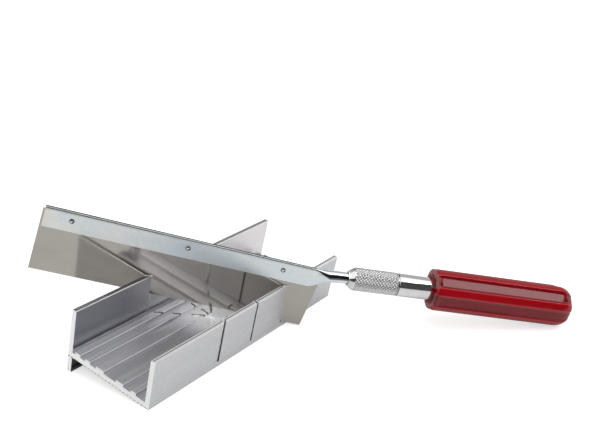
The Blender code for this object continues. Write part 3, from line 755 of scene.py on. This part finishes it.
def ferrule_mesh():
    root = THREAD_RADIUS - THREAD_DEPTH
    profile = [(FERRULE_BORE_END, 0), (FERRULE_BORE_END, FERRULE_BORE_RADIUS)]
    profile += [(FERRULE_NOSE, FERRULE_BORE_RADIUS), (FERRULE_NOSE, root)]
    turns = int((FERRULE_NOSE - FERRULE_FRONT - THREAD_UNDERCUT) / THREAD_PITCH)
    for i in range(turns):
        profile.append((FERRULE_NOSE - (i + 0.5) * THREAD_PITCH, THREAD_RADIUS))
        profile.append((FERRULE_NOSE - (i + 1) * THREAD_PITCH, root))
    profile.append((FERRULE_FRONT, root))
    shoulder = len(profile)
    profile += [(FERRULE_FRONT, COLLAR_RADIUS), (FERRULE_REAR, COLLAR_RADIUS)]
    profile.append((FERRULE_REAR, STUD_RADIUS))
    stud = FERRULE_REAR - STUD_REAR
    for i in range(STUD_GROOVES):
        start = FERRULE_REAR - stud * (i + 1) / (STUD_GROOVES + 1)
        profile += [(start, STUD_RADIUS), (start - STUD_GROOVE, STUD_RADIUS - STUD_GROOVE)]
        profile.append((start - 2 * STUD_GROOVE, STUD_RADIUS))
    profile += [(STUD_REAR + STUD_GROOVE, STUD_RADIUS), (STUD_REAR, STUD_RADIUS - STUD_GROOVE)]
    profile.append((STUD_REAR, 0))
    profile = rounded(profile, (shoulder, shoulder + 1), EDGE_ROUND)
    rings = [circle(x, radius, TURNED_STEPS) for x, radius in profile]
    return loft("ferrule_barrel", rings)


def grip_angles():
    """Angles within one sixth of the grip, measured from the middle of its flute."""
    half = math.pi / FLUTES
    wall = FLUTE_HALF_ANGLE - FLUTE_FLOOR_ANGLE
    angles = [share * FLUTE_FLOOR_ANGLE for share in (0, 0.3, 0.6, 0.85)]
    angles += [FLUTE_FLOOR_ANGLE + wall * share for share in (0, 0.1, 0.25, 0.5, 0.75, 0.9, 1)]
    angles += [FLUTE_HALF_ANGLE + (half - FLUTE_HALF_ANGLE) * share for share in (0.08, 0.2, 0.5)]
    return [-angle for angle in reversed(angles[1:])] + angles + [half]


def flute_share(angle):
    """0 on a flute's floor, 1 on the round of the grip, eased in and out between them."""
    share = (abs(angle) - FLUTE_FLOOR_ANGLE) / (FLUTE_HALF_ANGLE - FLUTE_FLOOR_ANGLE)
    share = min(1, max(0, share))
    return (share + share * share * (3 - 2 * share)) / 2


def grip_ring(x, radius, depth):
    """One ring of the grip, its flutes cut to a share of their full depth."""
    ring = []
    for i in range(FLUTES):
        centre = GRIP_ROLL + (i + 0.5) * math.tau / FLUTES
        for angle in grip_angles():
            slant = math.cos(min(abs(angle), FLUTE_FLOOR_ANGLE))
            floor = (GRIP_RADIUS - FLUTE_DEPTH) / slant / GRIP_RADIUS
            reach = 1 - (1 - floor) * (1 - flute_share(angle)) * depth
            ring.append(on_ring(x, radius * reach, centre + angle))
    return ring


def slot_burrs():
    """Torn slivers along the slots' edges: on the walls' tops and sides, on the ridges, and on the
    floor where the slots cross."""
    chance = random.Random(BURR_SEED)
    body = bmesh.new()

    def sliver(place, along, out, up, size=1.0):
        length = chance.uniform(*BURR_LENGTH) * size * MM
        rise = chance.uniform(*BURR_RISE) * size * MM
        spread = chance.uniform(*BURR_SPREAD) * size * MM
        start = place - up * BURR_SINK * MM
        corners = [start - along * length / 2, start + along * length / 2, start + out * spread]
        lean = along * chance.uniform(-BURR_LEAN, BURR_LEAN) * length
        corners.append(place + up * rise + lean + out * spread / 2)
        verts = [body.verts.new(corner) for corner in corners]
        for a, b, c in ((0, 1, 2), (0, 1, 3), (1, 2, 3), (2, 0, 3)):
            body.faces.new((verts[a], verts[b], verts[c]))

    up = Vector((0, 0, 1))
    for angle in SLOT_ANGLES:
        along = Vector((math.cos(angle), math.sin(angle), 0))
        for side in (-1, 1):
            out = Vector((-along.y, along.x, 0)) * side
            edge = Vector((BOX_MIDDLE, 0, 0)) + out * SLOT_HALF_WIDTH

            def on_edge(y, z):
                return edge + along * ((y - edge.y) / along.y) + up * z

            for inner, outer in (WALL_SIDES[:2], WALL_SIDES[2:]):
                for _ in range(WALL_BURRS):
                    place = on_edge(chance.uniform(inner, outer), BOX_HEIGHT)
                    sliver(place, along, out, up, BROAD_BURR)
            for y in WALL_SIDES:
                face = Vector((0, 1 if y in WALL_SIDES[1::2] else -1, 0))
                aside = Vector((1, 0, 0)) * (1 if out.x > 0 else -1)
                for _ in range(WALL_BURRS):
                    place = on_edge(y, chance.uniform(WALL_BURRS_FOOT, BOX_HEIGHT))
                    sliver(place, up, aside, face)
            for _ in range(FLOOR_BURRS):
                place = on_edge(chance.uniform(-CROSSING_REACH, CROSSING_REACH), FLOOR_TOP)
                sliver(place, along, out, up, BROAD_BURR)
            for y in RIDGE_MIDDLES:
                wear_and_shade = abs(y) < WORN_RIDGES_WITHIN
                for _ in range(WORN_RIDGE_BURRS if wear_and_shade else RIDGE_BURRS):
                    place = on_edge(y + chance.uniform(-1, 1) * RIDGE_BURRS_REACH, RIDGE_TOP)
                    sliver(place, along, out, up, WORN_BURR if wear_and_shade else 1.0)
    bmesh.ops.recalc_face_normals(body, faces=body.faces)
    return to_mesh("slot_burrs", body)


def channel_section(x):
    """Middle of the folded sheet at one place along the blade, from cheek to cheek."""
    straight = SPINE_TOP - SPINE_SHEET / 2 - CHEEK_OFFSET
    side = []
    for i in range(SHEET_ROWS):
        z = SPINE_BOTTOM + (straight - SPINE_BOTTOM) * i / SHEET_ROWS
        side.append(Vector((x, -CHEEK_OFFSET, z)))
    fold = []
    for i in range(SHEET_ROWS + 1):
        angle = math.pi * i / SHEET_ROWS
        y = -CHEEK_OFFSET * math.cos(angle)
        fold.append(Vector((x, y, straight + CHEEK_OFFSET * math.sin(angle))))
    return side + fold + [Vector((p.x, -p.y, p.z)) for p in reversed(side)]


def tang_section(x, handle):
    """Middle of the rolled sheet at one place along the handle, open in a seam underneath."""
    if x > 0:
        outer = TANG_RADIUS + (TANG_ROOT_RADIUS - TANG_RADIUS) * min(1, x / NECK_LENGTH)
    else:
        outer = TANG_RADIUS + (TANG_END_RADIUS - TANG_RADIUS) * min(1, -x / TANG_INSET)
    radius = outer - SPINE_SHEET / 2
    sag = TANG_ROOT_SAG * min(1, max(0, x) / NECK_LENGTH) ** 2
    seam = math.asin(SEAM / radius)
    points = []
    for i in range(3 * SHEET_ROWS + 1):
        angle = seam + (math.tau - 2 * seam) * i / (3 * SHEET_ROWS)
        y = -radius * math.sin(angle)
        points.append(handle @ Vector((x, y, -radius * math.cos(angle) - sag)))
    return points


def spine_mesh():
    """Folded back that turns into the rolled tang behind the heel, as a sheet without thickness."""
    handle = saw_frame.inverted() @ handle_frame
    straight = BLADE_LENGTH - SPINE_SETBACK
    rows = []
    for i in range(FOLD_STATIONS, -1, -1):
        rows.append(channel_section(CHANNEL_END + (straight - CHANNEL_END) * i / FOLD_STATIONS))
    for i in range(1, BLEND_STATIONS):
        share = i / BLEND_STATIONS
        x = CHANNEL_END - share * (CHANNEL_END + BEND_BEHIND_HEEL)
        along = NECK_LENGTH + (x + BEND_BEHIND_HEEL) / math.cos(HANDLE_RISE)
        rise = share * share * (3 - 2 * share)
        row = []
        for flat, rolled in zip(channel_section(x), tang_section(along, handle)):
            place = flat.lerp(rolled, rise)
            place.y = flat.y + (rolled.y - flat.y) * rise * rise
            row.append(place)
        rows.append(row)
    for share in (1, 0.75, 0.5, 0.25, 0):
        rows.append(tang_section(NECK_LENGTH * share, handle))
    rows.append(tang_section(-TANG_INSET, handle))
    body = bmesh.new()
    grid = [[body.verts.new(place) for place in row] for row in rows]
    for near, far in zip(grid, grid[1:]):
        for i in range(len(near) - 1):
            body.faces.new((near[i], near[i + 1], far[i + 1], far[i]))
    mesh = to_mesh("spine_sheet", body)
    mesh.shade_smooth()
    return mesh


def grip_mesh():
    """Grip from its bore out through the recess, over the front's round and back to the butt."""
    bore_end = STUD_REAR - EDGE_ROUND
    rings = [grip_ring(bore_end, GRIP_BORE_RADIUS, 0), grip_ring(RECESS_FLOOR, GRIP_BORE_RADIUS, 0)]
    rings.append(grip_ring(RECESS_FLOOR, RECESS_FLOOR_RADIUS, 0))
    rings.append(grip_ring(GRIP_FRONT, RECESS_RADIUS, 0))
    for i in range(1, FRONT_RINGS + 1):
        share = i / FRONT_RINGS
        angle = share * math.pi / 2
        x = GRIP_FRONT - FRONT_ROUND * (1 - math.cos(angle))
        radius = RECESS_RADIUS + (GRIP_RADIUS - RECESS_RADIUS) * math.sin(angle)
        rings.append(grip_ring(x, radius, share * FLUTE_FRONT_SHARE))
    scoop = GRIP_FRONT - FRONT_ROUND
    for i in range(1, SCOOP_RINGS + 1):
        share = i / SCOOP_RINGS
        depth = FLUTE_FRONT_SHARE + (1 - FLUTE_FRONT_SHARE) * share
        rings.append(grip_ring(scoop - share * FLUTE_SCOOP, GRIP_RADIUS, depth))
    rings.append(grip_ring(scoop - FLUTE_SCOOP - FLUTE_EASE, GRIP_RADIUS, 1))
    start = GRIP_REAR + DOME_LENGTH
    rings.append(grip_ring(start + FLUTE_EASE, GRIP_RADIUS, 1))
    for i in range(DOME_RINGS + 1):
        share = i / DOME_RINGS
        angle = share * math.pi / 2
        radius = BUTT_RADIUS + (GRIP_RADIUS - BUTT_RADIUS) * math.cos(angle)
        depth = 1 - (1 - FLUTE_BUTT_SHARE) * share
        rings.append(grip_ring(start - DOME_LENGTH * math.sin(angle), radius, depth))
    rings.append(grip_ring(GRIP_REAR, BUTT_RADIUS / 2, FLUTE_BUTT_SHARE))
    rings.append(grip_ring(GRIP_REAR, 0, 0))
    return loft("grip_skin", rings)


def dress_node(name, material):
    """Give a carried-over CAD node its material, and smooth shading up to a sharp angle."""
    node = frame["nodes"][name]
    node.data.materials.clear()
    node.data.materials.append(material)
    node.data.normals_split_custom_set([(0, 0, 0)] * len(node.data.loops))
    node.data.shade_smooth()
    node.modifiers.new("weld", "WELD").merge_threshold = WELD_WITHIN
    node.modifiers.new("sharp_edges", "EDGE_SPLIT").split_angle = SHARP


# Pieces

steel = rivet_steel()
dress_node("mitre_box", extruded_aluminium())
dress_node("saw_blade", blade_steel())
dress_node("collet", collet_steel())
for rivet in ("rivet_tip", "rivet_middle", "rivet_heel"):
    dress_node(rivet, steel)

spine = add_piece("spine_sheet", spine_mesh(), saw_frame, zinc_plate(), "saw",
                  "zinc_plate", "blade_spine")
sheet = spine.modifiers.new("sheet", "SOLIDIFY")
sheet.thickness = SPINE_SHEET
sheet.offset = 0
sheet.use_even_offset = True
spine.modifiers.new("sharp_edges", "EDGE_SPLIT").split_angle = SHARP

add_piece("slot_burrs", slot_burrs(), box_frame, burr_aluminium(), "mitre_box",
          "extruded_aluminium")
add_piece("collar_knurl", collar_mesh(), handle_frame, knurled_aluminium(), "chuck_collar",
          "knurled_aluminium", "chuck_collar")
add_piece("ferrule_barrel", ferrule_mesh(), handle_frame, polished_aluminium(), "handle",
          "polished_aluminium", "ferrule")
add_piece("grip_skin", grip_mesh(), handle_frame, red_plastic(), "handle",
          "red_plastic", "handle_grip")


# Studio

def stage_plane(name, size, matrix, material):
    """A flat part of the studio, which isn't part of the object."""
    body = bmesh.new()
    bmesh.ops.create_grid(body, x_segments=1, y_segments=1, size=0.5)
    mesh = to_mesh(name, body)
    mesh.materials.append(material)
    plane = add_object(name, mesh)
    plane.matrix_world = matrix @ Matrix.Diagonal((size[0], size[1], 1, 1))
    return plane


def seen_rays(tree, in_metal):
    """1 for rays from the camera, in_metal for rays that mirror or look through, else 0."""
    paths = tree.nodes.new("ShaderNodeLightPath")

    def join(operation, first, second):
        node = tree.nodes.new("ShaderNodeMath")
        node.operation = operation
        tree.links.new(first, node.inputs[0])
        if isinstance(second, float):
            node.inputs[1].default_value = second
        else:
            tree.links.new(second, node.inputs[1])
        return node.outputs[0]

    mirrored = join("MAXIMUM", paths.outputs["Is Glossy Ray"], paths.outputs["Is Transmission Ray"])
    mirrored = join("MULTIPLY", mirrored, in_metal)
    return join("MAXIMUM", paths.outputs["Is Camera Ray"], mirrored)


def floor_material():
    material = bpy.data.materials.new("pale_table")
    material.use_nodes = True
    tree = material.node_tree
    shader = tree.nodes["Principled BSDF"]
    shader.inputs["Base Color"].default_value = (FLOOR_ALBEDO, FLOOR_ALBEDO, FLOOR_ALBEDO, 1)
    shader.inputs["Roughness"].default_value = 0.35
    shader.inputs["Specular IOR Level"].default_value = 0.3
    shader.inputs["Emission Color"].default_value = (1, 1, 1, 1)
    glow = tree.nodes.new("ShaderNodeMath")
    glow.operation = "MULTIPLY"
    glow.inputs[1].default_value = FLOOR_GLOW
    tree.links.new(seen_rays(tree, FLOOR_GLOW_IN_METAL / FLOOR_GLOW), glow.inputs[0])
    tree.links.new(glow.outputs[0], shader.inputs["Emission Strength"])
    return material


def card_material(name, albedo, glow):
    material = bpy.data.materials.new(name)
    material.use_nodes = True
    shader = material.node_tree.nodes["Principled BSDF"]
    shader.inputs["Base Color"].default_value = (albedo, albedo, albedo, 1)
    shader.inputs["Roughness"].default_value = 1.0
    shader.inputs["Specular IOR Level"].default_value = 0.0
    shader.inputs["Emission Color"].default_value = (1, 1, 1, 1)
    shader.inputs["Emission Strength"].default_value = glow
    return material


def add_world():
    world = bpy.data.worlds.new("studio")
    bpy.context.scene.world = world
    world.use_nodes = True
    tree = world.node_tree
    background = tree.nodes["Background"]
    background.inputs["Color"].default_value = (1, 1, 1, 1)
    level = tree.nodes.new("ShaderNodeMapRange")
    level.inputs["To Min"].default_value = WORLD_LEVEL
    level.inputs["To Max"].default_value = 1.0
    tree.links.new(seen_rays(tree, 1.0), level.inputs["Value"])
    tree.links.new(level.outputs["Result"], background.inputs["Strength"])


def add_key_light():
    light = bpy.data.lights.new("key", "SUN")
    light.energy = KEY_STRENGTH
    light.angle = KEY_ANGLE
    lamp = add_object("key", light)
    lamp.matrix_world = KEY_FROM.to_track_quat("Z", "Y").to_matrix().to_4x4()
    lamp.visible_glossy = False


def add_card(name, size, centre, out, albedo, glow=0.0, turn=0.0):
    """A card seen only in reflections, as a studio's lamps and dark parts are. It faces back along
    out, and its width lies level but for its turn."""
    facing = (-out).to_track_quat("Z", "Y").to_matrix().to_4x4() @ Matrix.Rotation(turn, 4, "Z")
    place = Matrix.Translation(centre) @ facing
    card = stage_plane(name, size, place, card_material(name, albedo, glow))
    card.visible_camera = False
    card.visible_diffuse = False
    card.visible_transmission = False
    card.visible_shadow = False


def add_cards():
    front = Vector((-0.741, -0.672, 0.0))
    up = Vector((0, 0, 1))
    centre, out = front * 0.55 + up * 0.38, front * 0.76 - up * 0.65
    add_card("front_card", (2.0, 1.12), centre, out, DARK_CARD_ALBEDO)
    gap = Vector((0.05, -0.97, 0.78))
    add_card("gap_card", (1.7, 1.0), gap, gap, DARK_CARD_ALBEDO)
    back = Vector((0.68, 0.32, 0.66)).normalized()
    add_card("back_card", (1.9, 1.15), back, back, 0.0, BACK_CARD_GLOW)
    hollow = Vector((0.48, 0.44, 0.66))
    add_card("hollow_card", (0.60, 0.50), hollow, hollow, 0.0, HOLLOW_CARD_GLOW)
    overhead = Vector((0.05, -0.28, 0.96))
    softbox = Vector((0.268, -0.625, 0.854))
    add_card("softbox", (0.60, 0.29), softbox, overhead, LIT_CARD_ALBEDO,
             SOFTBOX_GLOW, SOFTBOX_TURN)
    ceiling = overhead * 1.01
    add_card("ceiling_card", (1.8, 0.88), ceiling, overhead, 0.0, CEILING_GLOW, SOFTBOX_TURN)
    side = Vector((-0.43, 0.80, 0.42))
    add_card("side_box", (0.9, 0.7), side, side, LIT_CARD_ALBEDO, SIDE_BOX_GLOW)


def add_camera():
    data = bpy.data.cameras.new("camera")
    data.lens = CAMERA_LENS
    data.clip_start = 0.01
    camera = add_object("camera", data)
    back = CAMERA_RIGHT.cross(CAMERA_UP)
    axes = Matrix((CAMERA_RIGHT, CAMERA_UP, back)).transposed().to_4x4()
    camera.matrix_world = Matrix.Translation(CAMERA_PLACE) @ axes
    bpy.context.scene.camera = camera


stage_plane("table", (TABLE_SIZE, TABLE_SIZE), Matrix.Identity(4), floor_material())
add_world()
add_key_light()
add_cards()
add_camera()
bpy.context.scene.view_settings.view_transform = "Standard"
